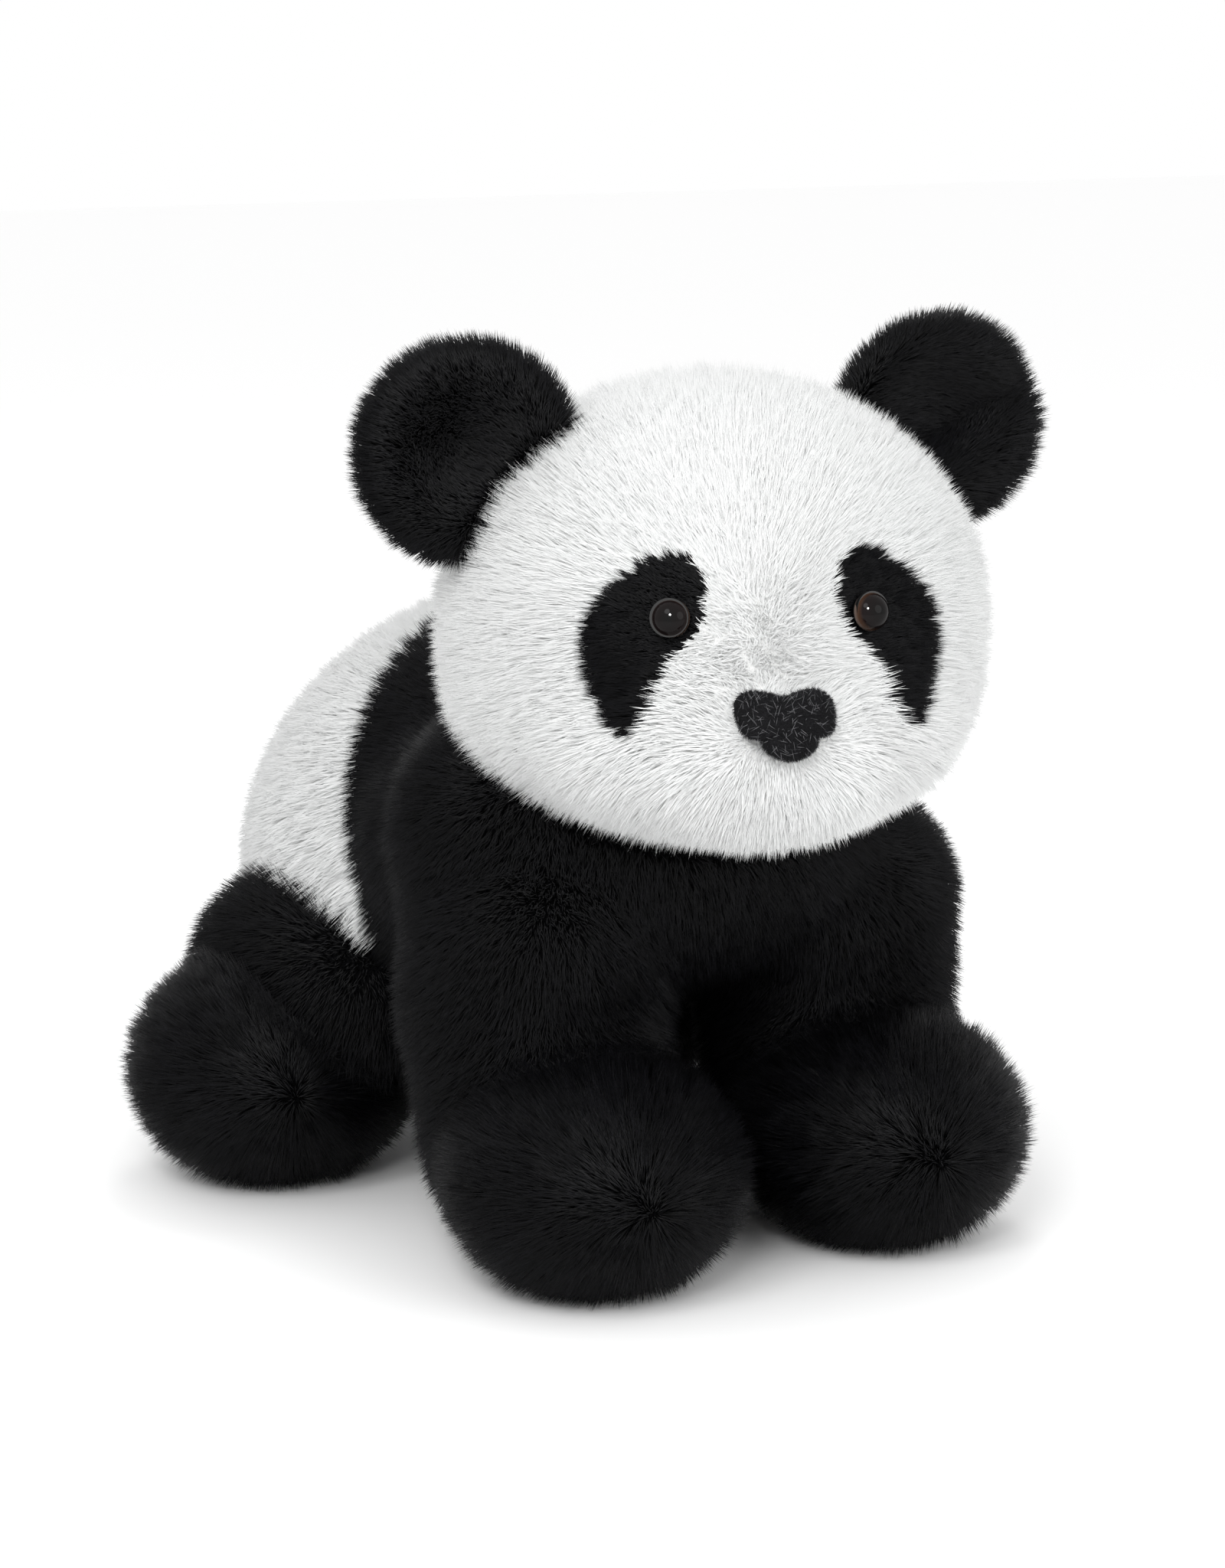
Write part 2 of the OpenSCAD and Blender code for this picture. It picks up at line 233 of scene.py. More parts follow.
def rounded(outline, times=3):
    """Cuts the corners of a closed outline until it is smooth."""
    points = [np.array(p, float) for p in outline]
    for _ in range(times):
        points = [q for a, b in zip(points, points[1:] + points[:1])
                  for q in (a * 0.75 + b * 0.25, a * 0.25 + b * 0.75)]
    return [tuple(p) for p in points]


# Materials --------------------------------------------------------------------------------------

class Finish:
    """A material being built from nodes."""

    def __init__(self, name):
        self.material = bpy.data.materials.new(name)
        self.material.use_nodes = True
        self.tree = self.material.node_tree
        self.shader = self.tree.nodes["Principled BSDF"]

    def node(self, kind, **settings):
        made = self.tree.nodes.new(kind)
        for key, value in settings.items():
            setattr(made, key, value)
        return made

    def link(self, a, b):
        self.tree.links.new(a, b)

    def set(self, **values):
        for key, value in values.items():
            self.shader.inputs[key.replace("_", " ")].default_value = value

    def ramp(self, source, stops):
        """A colour ramp from a number: stops are (place, colour)."""
        ramp = self.node("ShaderNodeValToRGB")
        band = ramp.color_ramp
        while len(band.elements) < len(stops):
            band.elements.new(0.5)
        for element, (place, colour) in zip(band.elements, stops):
            element.position = place
            element.color = (*colour, 1)
        self.link(source, ramp.inputs["Fac"])
        return ramp.outputs["Color"]

    def mix(self, factor, a, b, blend="MIX"):
        mix = self.node("ShaderNodeMix", data_type="RGBA", blend_type=blend)
        for socket, value in ((mix.inputs[0], factor), (mix.inputs[6], a), (mix.inputs[7], b)):
            if isinstance(value, (int, float)):
                socket.default_value = value
            elif isinstance(value, tuple):
                socket.default_value = (*value, 1)
            else:
                self.link(value, socket)
        return mix.outputs[2]


def pile_finish(name, root, tip, dark, pale, roughness, sheen, sheen_tint, gloss):
    """Plush pile: each strand is darker at its root, as painted shade for the shadow deep among the strands,
    and has a tone of its own.
    """
    finish = Finish(name)
    uv = finish.node("ShaderNodeUVMap", uv_map="OFBake")
    split = finish.node("ShaderNodeSeparateXYZ")
    finish.link(uv.outputs["UV"], split.inputs[0])
    middle = tuple((r + t) / 2 for r, t in zip(root, tip))
    # Painted shade: the root colour is darker than the tip, standing in for the shadow deep in the pile.
    along = finish.ramp(split.outputs["Y"], [(0.0, root), (0.45, middle), (1.0, tip)])
    shade = finish.ramp(split.outputs["X"], [(0.0, dark), (0.5, (1, 1, 1)), (1.0, pale)])
    finish.link(finish.mix(1.0, along, shade, "MULTIPLY"), finish.shader.inputs["Base Color"])
    finish.set(Roughness=roughness, Sheen_Weight=sheen, Sheen_Roughness=0.35, Sheen_Tint=(*sheen_tint, 1),
               Specular_IOR_Level=gloss)
    return finish.material


def backing_finish(name, colour, second):
    """Knitted backing cloth between the strands."""
    finish = Finish(name)
    coords = finish.node("ShaderNodeTexCoord")
    knit = finish.node("ShaderNodeTexNoise")
    knit.inputs["Scale"].default_value = 900
    finish.link(coords.outputs["Object"], knit.inputs["Vector"])
    colours = finish.ramp(knit.outputs["Fac"], [(0.35, second), (0.65, colour)])
    finish.link(colours, finish.shader.inputs["Base Color"])
    bump = finish.node("ShaderNodeBump")
    bump.inputs["Strength"].default_value = 0.4
    bump.inputs["Distance"].default_value = 0.0006
    finish.link(knit.outputs["Fac"], bump.inputs["Height"])
    finish.link(bump.outputs["Normal"], finish.shader.inputs["Normal"])
    finish.set(Roughness=0.95, Specular_IOR_Level=0.1)
    return finish.material


# Root colours darker than the tip colours: painted shade deep among the strands.
WHITE_PILE = pile_finish("white_pile", (0.91, 0.92, 0.915), (0.95, 0.96, 0.955), (0.97, 0.97, 0.965),
                         (1.0, 1.0, 1.0), 0.8, 0.15, (1, 1, 1), 0.3)
BLACK_PILE = pile_finish("black_pile", (0.0004, 0.0004, 0.0005), (0.006, 0.006, 0.007), (0.25, 0.25, 0.25),
                         (2.6, 2.6, 2.8), 0.36, 0.0, (0.85, 0.9, 1.0), 0.14)
NOSE_PILE = pile_finish("nose_velour_pile", (0.003, 0.003, 0.0035), (0.016, 0.016, 0.018), (0.25, 0.25, 0.25),
                        (2.5, 2.5, 2.5), 0.6, 0.0, (1, 1, 1), 0.15)
NOSE_LINT = pile_finish("nose_lint", (0.14, 0.14, 0.15), (0.24, 0.24, 0.25), (0.6, 0.6, 0.6), (1.2, 1.2, 1.2),
                        0.7, 0.0, (1, 1, 1), 0.3)
WHITE_BACKING = backing_finish("white_backing", (0.93, 0.93, 0.92), (0.88, 0.88, 0.87))
BLACK_BACKING = backing_finish("black_backing", (0.003, 0.003, 0.0035), (0.0015, 0.0015, 0.002))


def eye_finish():
    """Glossy eye: black pupil, and a rim that lets a little brown through."""
    finish = Finish("eye_gloss")
    uv = finish.node("ShaderNodeUVMap", uv_map="OFBake")
    split = finish.node("ShaderNodeSeparateXYZ")
    finish.link(uv.outputs["UV"], split.inputs[0])
    colour = finish.ramp(split.outputs["Y"], [(0.0, (0.002, 0.002, 0.002)), (0.62, (0.003, 0.002, 0.002)),
                                              (0.8, (0.02, 0.010, 0.006)), (0.93, (0.045, 0.034, 0.029)),
                                              (1.0, (0.015, 0.013, 0.012))])
    finish.link(colour, finish.shader.inputs["Base Color"])
    finish.set(Roughness=0.05, Specular_IOR_Level=0.1)
    return finish.material


EYE_GLOSS = eye_finish()


# Pile -------------------------------------------------------------------------------------------

def pile_tree():
    """Geometry Nodes tree that plants strands on a skin. Attributes on the skin steer it: cover
    (how thickly), pile (how long) and comb (which way the strands lean)."""
    tree = bpy.data.node_groups.new("pile", "GeometryNodeTree")
    face = tree.interface

    def slot_for(name, kind, default=None):
        made = face.new_socket(name=name, in_out="INPUT", socket_type=kind)
        if default is not None:
            made.default_value = default
        return made

    slot_for("Geometry", "NodeSocketGeometry")
    slot_for("Strands per square metre", "NodeSocketFloat", 1.2e6)
    slot_for("Length", "NodeSocketFloat", 0.009)
    slot_for("Width", "NodeSocketFloat", 0.0003)
    slot_for("Tuft size", "NodeSocketFloat", 0.005)
    slot_for("Tuft lean", "NodeSocketFloat", 0.35)
    slot_for("Stray", "NodeSocketFloat", 0.25)
    slot_for("Seed", "NodeSocketInt", 1)
    slot_for("Material", "NodeSocketMaterial")
    face.new_socket(name="Geometry", in_out="OUTPUT", socket_type="NodeSocketGeometry")

    def node(kind, **settings):
        made = tree.nodes.new(kind)
        for key, value in settings.items():
            setattr(made, key, value)
        return made

    def join(a, b):
        tree.links.new(a, b)

    def put(value, socket):
        if isinstance(value, bpy.types.NodeSocket):
            join(value, socket)
        else:
            socket.default_value = value

    def maths(operation, a, b=0.0):
        made = node("ShaderNodeMath", operation=operation)
        put(a, made.inputs[0])
        put(b, made.inputs[1])
        return made.outputs[0]

    def vector_maths(operation, a, b=None, scale=None):
        made = node("ShaderNodeVectorMath", operation=operation)
        put(a, made.inputs[0])
        if b is not None:
            put(b, made.inputs[1])
        if scale is not None:
            put(scale, made.inputs["Scale"])
        return made.outputs["Vector"]

    def stored(name, kind="FLOAT"):
        made = node("GeometryNodeInputNamedAttribute", data_type=kind)
        made.inputs["Name"].default_value = name
        return made.outputs["Attribute"]

    def store(geometry, name, kind, domain, value):
        made = node("GeometryNodeStoreNamedAttribute", data_type=kind, domain=domain)
        made.inputs["Name"].default_value = name
        join(geometry, made.inputs["Geometry"])
        join(value, made.inputs["Value"])
        return made.outputs["Geometry"]

    def chance(low, high, seed_offset):
        made = node("FunctionNodeRandomValue", data_type="FLOAT")
        made.inputs[2].default_value = low
        made.inputs[3].default_value = high
        join(maths("ADD", inputs["Seed"], seed_offset), made.inputs["Seed"])
        return made.outputs[1]

    inputs = node("NodeGroupInput").outputs
    scatter = node("GeometryNodeDistributePointsOnFaces", distribute_method="RANDOM")
    join(inputs["Geometry"], scatter.inputs["Mesh"])
    join(maths("MULTIPLY", inputs["Strands per square metre"], stored("cover")), scatter.inputs["Density"])
    join(inputs["Seed"], scatter.inputs["Seed"])

    # Strands lean towards the middle of their own tuft, and each tuft leans its own way.
    root = node("GeometryNodeInputPosition").outputs[0]
    tufts = node("ShaderNodeTexVoronoi", voronoi_dimensions="3D", feature="F1")
    join(maths("DIVIDE", 1.0, inputs["Tuft size"]), tufts.inputs["Scale"])
    inwards = vector_maths("SCALE", vector_maths("SUBTRACT", tufts.outputs["Position"], root),
                           scale=maths("DIVIDE", inputs["Tuft lean"], inputs["Length"]))
    own_way = vector_maths("SCALE", vector_maths("SUBTRACT", tufts.outputs["Color"], (0.5, 0.5, 0.5)),
                           scale=maths("MULTIPLY", inputs["Tuft lean"], 0.9))
    tuft_lean = vector_maths("ADD", inwards, own_way)
    stray = node("FunctionNodeRandomValue", data_type="FLOAT_VECTOR")
    stray.inputs[0].default_value = (-1, -1, -1)
    stray.inputs[1].default_value = (1, 1, 1)
    join(maths("ADD", inputs["Seed"], 11.0), stray.inputs["Seed"])
    stray_lean = vector_maths("SCALE", stray.outputs[0], scale=inputs["Stray"])
    grain = vector_maths("ADD", scatter.outputs["Normal"], stored("comb", "FLOAT_VECTOR"))
    growth = vector_maths("ADD", vector_maths("ADD", grain, tuft_lean), stray_lean)
    stand = node("FunctionNodeAlignRotationToVector", axis="Z")
    join(growth, stand.inputs["Vector"])

    points = store(scatter.outputs["Points"], "skin_normal", "FLOAT_VECTOR", "POINT",
                   scatter.outputs["Normal"])
    patches = node("ShaderNodeTexNoise", noise_dimensions="3D")
    patches.inputs["Scale"].default_value = 55.0
    shade = maths("ADD", maths("MULTIPLY", patches.outputs["Fac"], 0.5), chance(0.0, 0.5, 3.0))
    points = store(points, "shade", "FLOAT", "POINT", shade)

    strand = node("GeometryNodeMeshCone", fill_type="NONE")
    strand.inputs["Vertices"].default_value = 3
    strand.inputs["Side Segments"].default_value = 1
    strand.inputs["Radius Top"].default_value = 0.0
    join(inputs["Width"], strand.inputs["Radius Bottom"])
    join(inputs["Length"], strand.inputs["Depth"])
    place = node("GeometryNodeInputPosition")
    height = node("ShaderNodeSeparateXYZ")
    join(place.outputs[0], height.inputs[0])
    along = maths("DIVIDE", height.outputs["Z"], inputs["Length"])
    strand_mesh = store(strand.outputs["Mesh"], "along", "FLOAT", "POINT", along)

    plant = node("GeometryNodeInstanceOnPoints")
    join(points, plant.inputs["Points"])
    join(strand_mesh, plant.inputs["Instance"])
    join(stand.outputs["Rotation"], plant.inputs["Rotation"])
    size = node("ShaderNodeCombineXYZ")
    thickness = chance(0.7, 1.3, 5.0)
    join(thickness, size.inputs["X"])
    join(thickness, size.inputs["Y"])
    join(maths("MULTIPLY", stored("pile"), chance(0.72, 1.12, 7.0)), size.inputs["Z"])
    join(size.outputs[0], plant.inputs["Scale"])
    real = node("GeometryNodeRealizeInstances")
    join(plant.outputs["Instances"], real.inputs[0])
    flat = node("ShaderNodeCombineXYZ")
    join(stored("shade"), flat.inputs["X"])
    join(stored("along"), flat.inputs["Y"])
    finished = store(real.outputs[0], "OFBake", "FLOAT2", "CORNER", flat.outputs[0])
    paint = node("GeometryNodeSetMaterial")
    join(finished, paint.inputs["Geometry"])
    join(inputs["Material"], paint.inputs["Material"])
    end = node("NodeGroupOutput")
    join(paint.outputs["Geometry"], end.inputs["Geometry"])
    return tree


PILE_TREE = pile_tree()
# How much a strand is lit like the skin under it, rather than like a strand on its own
SOFTNESS = {"white_pile": 0.88, "black_pile": 0.25, "nose_velour_pile": 0.5, "nose_lint": 0.3}


def attribute(skin, name, kind, values):
    made = skin.data.attributes.new(name, kind, "POINT")
    field = "vector" if kind == "FLOAT_VECTOR" else "value"
    made.data.foreach_set(field, np.asarray(values, np.float32).ravel())


def grow_pile(name, skin, material, strands, length, width=0.28 * MM, tuft=5 * MM, lean=0.38,
              stray=0.22, seed=1):
    """Plants that many strands on a skin, as one plain mesh."""
    faces = len(skin.data.polygons)
    area, corner, cover = np.empty(faces), np.empty(faces, np.int32), np.empty(len(skin.data.vertices))
    skin.data.polygons.foreach_get("area", area)
    skin.data.polygons.foreach_get("loop_start", corner)
    skin.data.attributes["cover"].data.foreach_get("value", cover)
    points = np.empty(len(skin.data.loops), np.int32)
    skin.data.loops.foreach_get("vertex_index", points)
    strands = strands / max(1e-9, (area * cover[points[corner]]).sum())
    piece = bpy.data.objects.new(name, skin.data)
    bpy.context.scene.collection.objects.link(piece)
    modifier = piece.modifiers.new("pile", "NODES")
    modifier.node_group = PILE_TREE
    values = {"Strands per square metre": strands, "Length": length, "Width": width, "Tuft size": tuft,
              "Tuft lean": lean, "Stray": stray, "Seed": seed, "Material": material}
    for item in PILE_TREE.interface.items_tree:
        if item.in_out == "INPUT" and item.name in values:
            modifier[item.identifier] = values[item.name]
    graph = bpy.context.evaluated_depsgraph_get()
    data = bpy.data.meshes.new_from_object(piece.evaluated_get(graph))
    piece.modifiers.clear()
    piece.data = data
    data.name = name
    # Strands that would reach into the floor are bent flat on it.
    spots = positions(piece)
    low = spots[:, 2] < FLAT_ON_FLOOR
    spots[low, 2] = FLAT_ON_FLOOR + (spots[low, 2] - FLAT_ON_FLOOR) * 0.02
    soften(data, SOFTNESS[material.name])
    move_to(piece, spots)
    for left in ("shade", "along", "skin_normal", "cover", "comb", "pile"):
        if left in data.attributes:
            data.attributes.remove(data.attributes[left])
    return piece


def soften(data, softness):
    """Turns the strands' normals towards the skin's, so that the coat is lit as one soft surface."""
    count = len(data.vertices)
    own, under = np.empty(count * 3, np.float32), np.empty(count * 3, np.float32)
    data.vertices.foreach_get("normal", own)
    data.attributes["skin_normal"].data.foreach_get("vector", under)
    turned_normals = own.reshape(-1, 3) * (1 - softness) + under.reshape(-1, 3) * softness
    turned_normals /= np.maximum(np.linalg.norm(turned_normals, axis=1, keepdims=True), 1e-9)
    for face in data.polygons:
        face.use_smooth = True
    data.normals_split_custom_set_from_vertices(turned_normals)


def groom(skin, cover, pile, comb):
    """Writes the growth of the pile on a skin: cover and pile per point, comb as a lean."""
    attribute(skin, "cover", "FLOAT", cover)
    attribute(skin, "pile", "FLOAT", pile)
    n = normals(skin)
    along_skin = comb - n * (comb * n).sum(1, keepdims=True)
    attribute(skin, "comb", "FLOAT_VECTOR", along_skin)


def fade(distance, width):
    """0 where distance is below 0, 1 past the width, and smooth between."""
    t = np.clip(distance / width, 0, 1)
    return t * t * (3 - 2 * t)


def outside(points, centre, radii, turn=np.eye(3)):
    """Rough distance outside an ellipsoid, in metres."""
    local = (points - np.array(centre)) @ turn
    return (np.linalg.norm(local / radii, axis=1) - 1) * np.min(radii)


def panel(skin, name, keep):
    """The faces of a skin whose middles are kept, as a panel of their own, with its attributes."""
    piece = skin.copy()
    piece.data = skin.data.copy()
    piece.name = piece.data.name = name
    bpy.context.scene.collection.objects.link(piece)
    mesh = bmesh.new()
    mesh.from_mesh(piece.data)
    mesh.faces.ensure_lookup_table()
    bmesh.ops.delete(mesh, geom=[f for f, k in zip(mesh.faces, keep) if not k], context="FACES")
    mesh.to_mesh(piece.data)
    mesh.free()
    return piece


def middles(skin):
    co = np.empty(len(skin.data.polygons) * 3, np.float32)
    skin.data.polygons.foreach_get("center", co)
    return co.reshape(-1, 3).astype(float)


def dress(piece, material, slot, body, *nodes, fill=None):
    """Gives a piece its finish and the body that carries it, and hides the frame's parts that it stands for.
    """
    if material is not None:
        piece.data.materials.clear()
        piece.data.materials.append(material)
    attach(piece, body)
    if nodes:
        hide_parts(*nodes)
    return piece


# Head -------------------------------------------------------------------------------------------

# Outline of an eye patch, seen from the front: (outwards, upwards) from the eye
PATCH = rounded([(-13, 9), (-10, 17), (4, 19), (16, 14), (27, 4), (32, -8), (29.5, -21), (22, -33), (12, -41),
                 (4, -33), (3, -19), (-6, -9), (-13, 0)], 2)


def patch_mask(points):
    """Which points of the head lie in an eye patch, seen from the front of each eye."""
    local = to_head(points)
    eye_turn = math.atan2(EYE_AT[0], HEAD_RADII[1] * 0.9)
    out = (np.arctan2(np.abs(local[:, 0]), -local[:, 1]) - eye_turn) * HEAD_RADII[0] * 0.97
    up = local[:, 2] - EYE_AT[2]
    return inside_polygon(out / MM, up / MM, PATCH) & (local[:, 1] < 0)


def make_head():
    turn = HEAD_MATRIX
    skin = sewn("head_skin", [
        lambda m: ball(m, HEAD, HEAD_RADII - BACKING - np.array((3, 0, 0)) * MM, turn),
        lambda m: ball(m, from_head(MUZZLE_AT), MUZZLE_RADII - BACKING - 2 * MM, turn),
        lambda m: ball(m, from_head(np.array((0, -50, -28)) * MM), np.array((68, 46, 38)) * MM, turn),
    ], rounding=70)
    points = positions(skin)
    local = to_head(points)
    # The face has soft hollows at the eyes and fuller cheeks.
    n = normals(skin)
    for side in SIDES.values():
        eye = np.array((side * EYE_AT[0], -HEAD_RADII[1] * 0.88, EYE_AT[2]))
        near = np.exp(-(np.linalg.norm(local - eye, axis=1) / (20 * MM)) ** 2)
        points -= n * near[:, None] * 3.5 * MM
    # The cheeks are full and low.
    local = to_head(points)
    low = np.exp(-((local[:, 2] + 52 * MM) / (27 * MM)) ** 2)
    local[:, 0] *= 1 + 0.11 * low
    points = from_head(local)
    move_to(skin, points)

    cover = np.ones(len(points))
    # No pile under the neck seam and none in front of the eyes; the pile is shorter near the eyes and the
    # nose.
    cover *= fade(np.hypot(local[:, 0], local[:, 1]) - 40 * MM, 10 * MM) + (local[:, 2] > -60 * MM)
    cover = np.clip(cover, 0, 1)
    pile = np.full(len(points), 1.0)
    for side in SIDES.values():
        eye = eye_place(side)[0]
        away = np.linalg.norm(points - eye, axis=1)
        cover *= away > 6.5 * MM
        pile *= 0.35 + 0.65 * fade(away - 6 * MM, 22 * MM)
    nose = from_head(NOSE_AT)
    away = np.linalg.norm(points - nose, axis=1)
    pile *= 0.5 + 0.5 * fade(away - 12 * MM, 40 * MM)
    # The pile flows back from the nose over the brow and the cheeks.
    source = from_head(np.array((0, -128, -12)) * MM)
    flow = points - source
    flow /= np.linalg.norm(flow, axis=1, keepdims=True)
    flow[:, 2] -= 0.25
    groom(skin, cover, pile, flow * 0.75)

    patches = patch_mask(middles(skin))
    side_of = to_head(middles(skin))[:, 0]
    white = panel(skin, "head_plush", ~patches)
    dress(white, WHITE_BACKING, "white plush", "head", "head_cover", "muzzle_cover", "head_stuffing",
          fill=0.85)
    for layer, (length, seed) in enumerate(((11 * MM, 4), (9.5 * MM, 5), (8 * MM, 6))):
        dress(grow_pile(f"head_pile_{layer + 1}", white, WHITE_PILE, 62000, length, width=0.3 * MM, lean=0.4,
                        seed=seed),
              None, "white plush", "head")
    for word, side in SIDES.items():
        patch = panel(skin, f"{word}_eye_patch_plush", patches & (side_of * side > 0))
        dress(patch, BLACK_BACKING, "black plush", "head", f"{word}_eye_patch", fill=0.7)
        dress(grow_pile(f"{word}_eye_patch_pile", patch, BLACK_PILE, 8000, 8 * MM, width=0.26 * MM, seed=7),
              None, "black plush", "head")
    bpy.data.objects.remove(skin)


def eye_place(side):
    """The middle of an eye's dome, and the way it looks."""
    low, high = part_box(("right" if side < 0 else "left") + "_eye_dome")
    centre = (np.array(low) + np.array(high)) / 2
    local = to_head(centre[None])[0]
    look = local / HEAD_RADII ** 2
    look /= np.linalg.norm(look)
    return centre, HEAD_MATRIX @ look


def make_eyes():
    for word, side in SIDES.items():
        centre, look = eye_place(side)
        mesh = bmesh.new()
        rings, spokes = 14, 48
        uv_of = {}
        frame_of = Vector(look).to_track_quat("Z", "Y").to_matrix()
        base = Vector(centre) - Vector(look) * 3.2 * MM
        grid = []
        for r in range(rings + 1):
            tilt = math.radians(96) * r / rings
            row = []
            for s in range(spokes if r else 1):
                a = 2 * math.pi * s / spokes
                local = Vector((math.sin(tilt) * math.cos(a), math.sin(tilt) * math.sin(a),
                                math.cos(tilt) * 0.92))
                v = mesh.verts.new(base + frame_of @ (local * EYE_RADIUS))
                uv_of[v] = (s / spokes, r / rings)
                row.append(v)
            grid.append(row)
        for s in range(spokes):
            mesh.faces.new((grid[0][0], grid[1][s], grid[1][(s + 1) % spokes]))
        for r in range(1, rings):
            for s in range(spokes):
                t = (s + 1) % spokes
                mesh.faces.new((grid[r][s], grid[r + 1][s], grid[r + 1][t], grid[r][t]))
        layer = mesh.loops.layers.uv.new("OFBake")
        for face in mesh.faces:
            face.smooth = True
            for loop in face.loops:
                loop[layer].uv = uv_of[loop.vert]
        bmesh.ops.recalc_face_normals(mesh, faces=mesh.faces)
        piece = object_of(f"{word}_eye_ball", mesh)
        dress(piece, EYE_GLOSS, "clear eye dome", "head", f"{word}_eye_dome")


NOSE_AT = np.array((0, -114, -20.5)) * MM
# Half of the nose's outline, seen from the front, from its top middle down to its tip
NOSE_HALF = [(0, 8.7), (6, 10.6), (13, 11), (17.4, 8), (18, 3), (16, -2.6), (12.5, -3.6), (10.2, -2.2),
             (10, -6), (7, -9.2), (2.5, -11), (0, -11.2)]


def make_nose():
    """Velour nose: a flat panel with a soft rolled edge, laid on the front of the muzzle."""
    outline = rounded(NOSE_HALF + [(-x, z) for x, z in NOSE_HALF[-2:0:-1]], 1)
    outline = [(x * 0.93, z * 0.93) for x, z in outline]
    mesh = bmesh.new()
    rings = 9
    loops = []
    centre = np.array((0, -0.5))
    for r in range(rings, 0, -1):
        share = r / rings
        loops.append([tuple(centre + (np.array(p) - centre) * share) for p in outline])

    def lift(x, z, share):
        flat = np.array((x * MM, 0, z * MM + NOSE_AT[2]))
        rel = (flat - MUZZLE_AT) / MUZZLE_RADII
        depth = math.sqrt(max(0.05, 1 - rel[0] ** 2 - rel[2] ** 2))
        crown = 3.4 * MM * math.sqrt(max(0.0, 1 - share ** 4))
        ahead = MUZZLE_AT[1] - MUZZLE_RADII[1] * depth + 3.0 * MM - crown
        return from_head(np.array((flat[0], ahead, flat[2])))

    grid = [[mesh.verts.new(lift(x, z, 1 - i / rings)) for x, z in loop] for i, loop in enumerate(loops)]
    tip = mesh.verts.new(lift(0, -0.5, 0))
    count = len(grid[0])
    back = [mesh.verts.new(Vector(v.co) + Vector(HEAD_MATRIX @ np.array((0, 3.0 * MM, 0)))) for v in grid[0]]
    for k in range(count):
        n = (k + 1) % count
        mesh.faces.new((back[k], back[n], grid[0][n], grid[0][k]))
        for a, b in zip(grid, grid[1:]):
            mesh.faces.new((a[k], a[n], b[n], b[k]))
        mesh.faces.new((grid[-1][k], grid[-1][n], tip))
    mesh.faces.new(back)
    bmesh.ops.triangulate(mesh, faces=[f for f in mesh.faces if len(f.verts) > 4])
    bmesh.ops.recalc_face_normals(mesh, faces=mesh.faces)
    nose = object_of("nose_velour", mesh)
    for face in nose.data.polygons:
        face.use_smooth = True
    n = normals(nose)
    points = positions(nose)
    ahead = n @ (HEAD_MATRIX @ np.array((0, -1.0, 0)))
    down = np.tile((0.0, 0.0, -0.6), (len(points), 1))
    groom(nose, (ahead > -0.1).astype(float), np.ones(len(points)), down)
    finish = Finish("nose_velour")
    coords = finish.node("ShaderNodeTexCoord")
    grain = finish.node("ShaderNodeTexNoise")
    grain.inputs["Scale"].default_value = 1400
    finish.link(coords.outputs["Object"], grain.inputs["Vector"])
    finish.link(finish.ramp(grain.outputs["Fac"],
                            [(0.3, (0.004, 0.004, 0.005)), (0.7, (0.014, 0.014, 0.016))]),
                finish.shader.inputs["Base Color"])
    finish.set(Roughness=0.8, Specular_IOR_Level=0.15)
    dress(nose, finish.material, "nose velour", "head", "nose", fill=0.5)
    dress(grow_pile("nose_velour_pile", nose, NOSE_PILE, 7000, 1.5 * MM, width=0.12 * MM, tuft=2.5 * MM,
                    lean=0.3, stray=0.7, seed=9),
          None, "nose velour", "head")
    dress(grow_pile("nose_lint", nose, NOSE_LINT, 300, 4.5 * MM, width=0.10 * MM, tuft=1.5 * MM,
                    lean=1.3, stray=1.6, seed=15),
          None, "nose velour", "head")


# Ears -------------------------------------------------------------------------------------------

EAR_RADIUS = 41 * MM


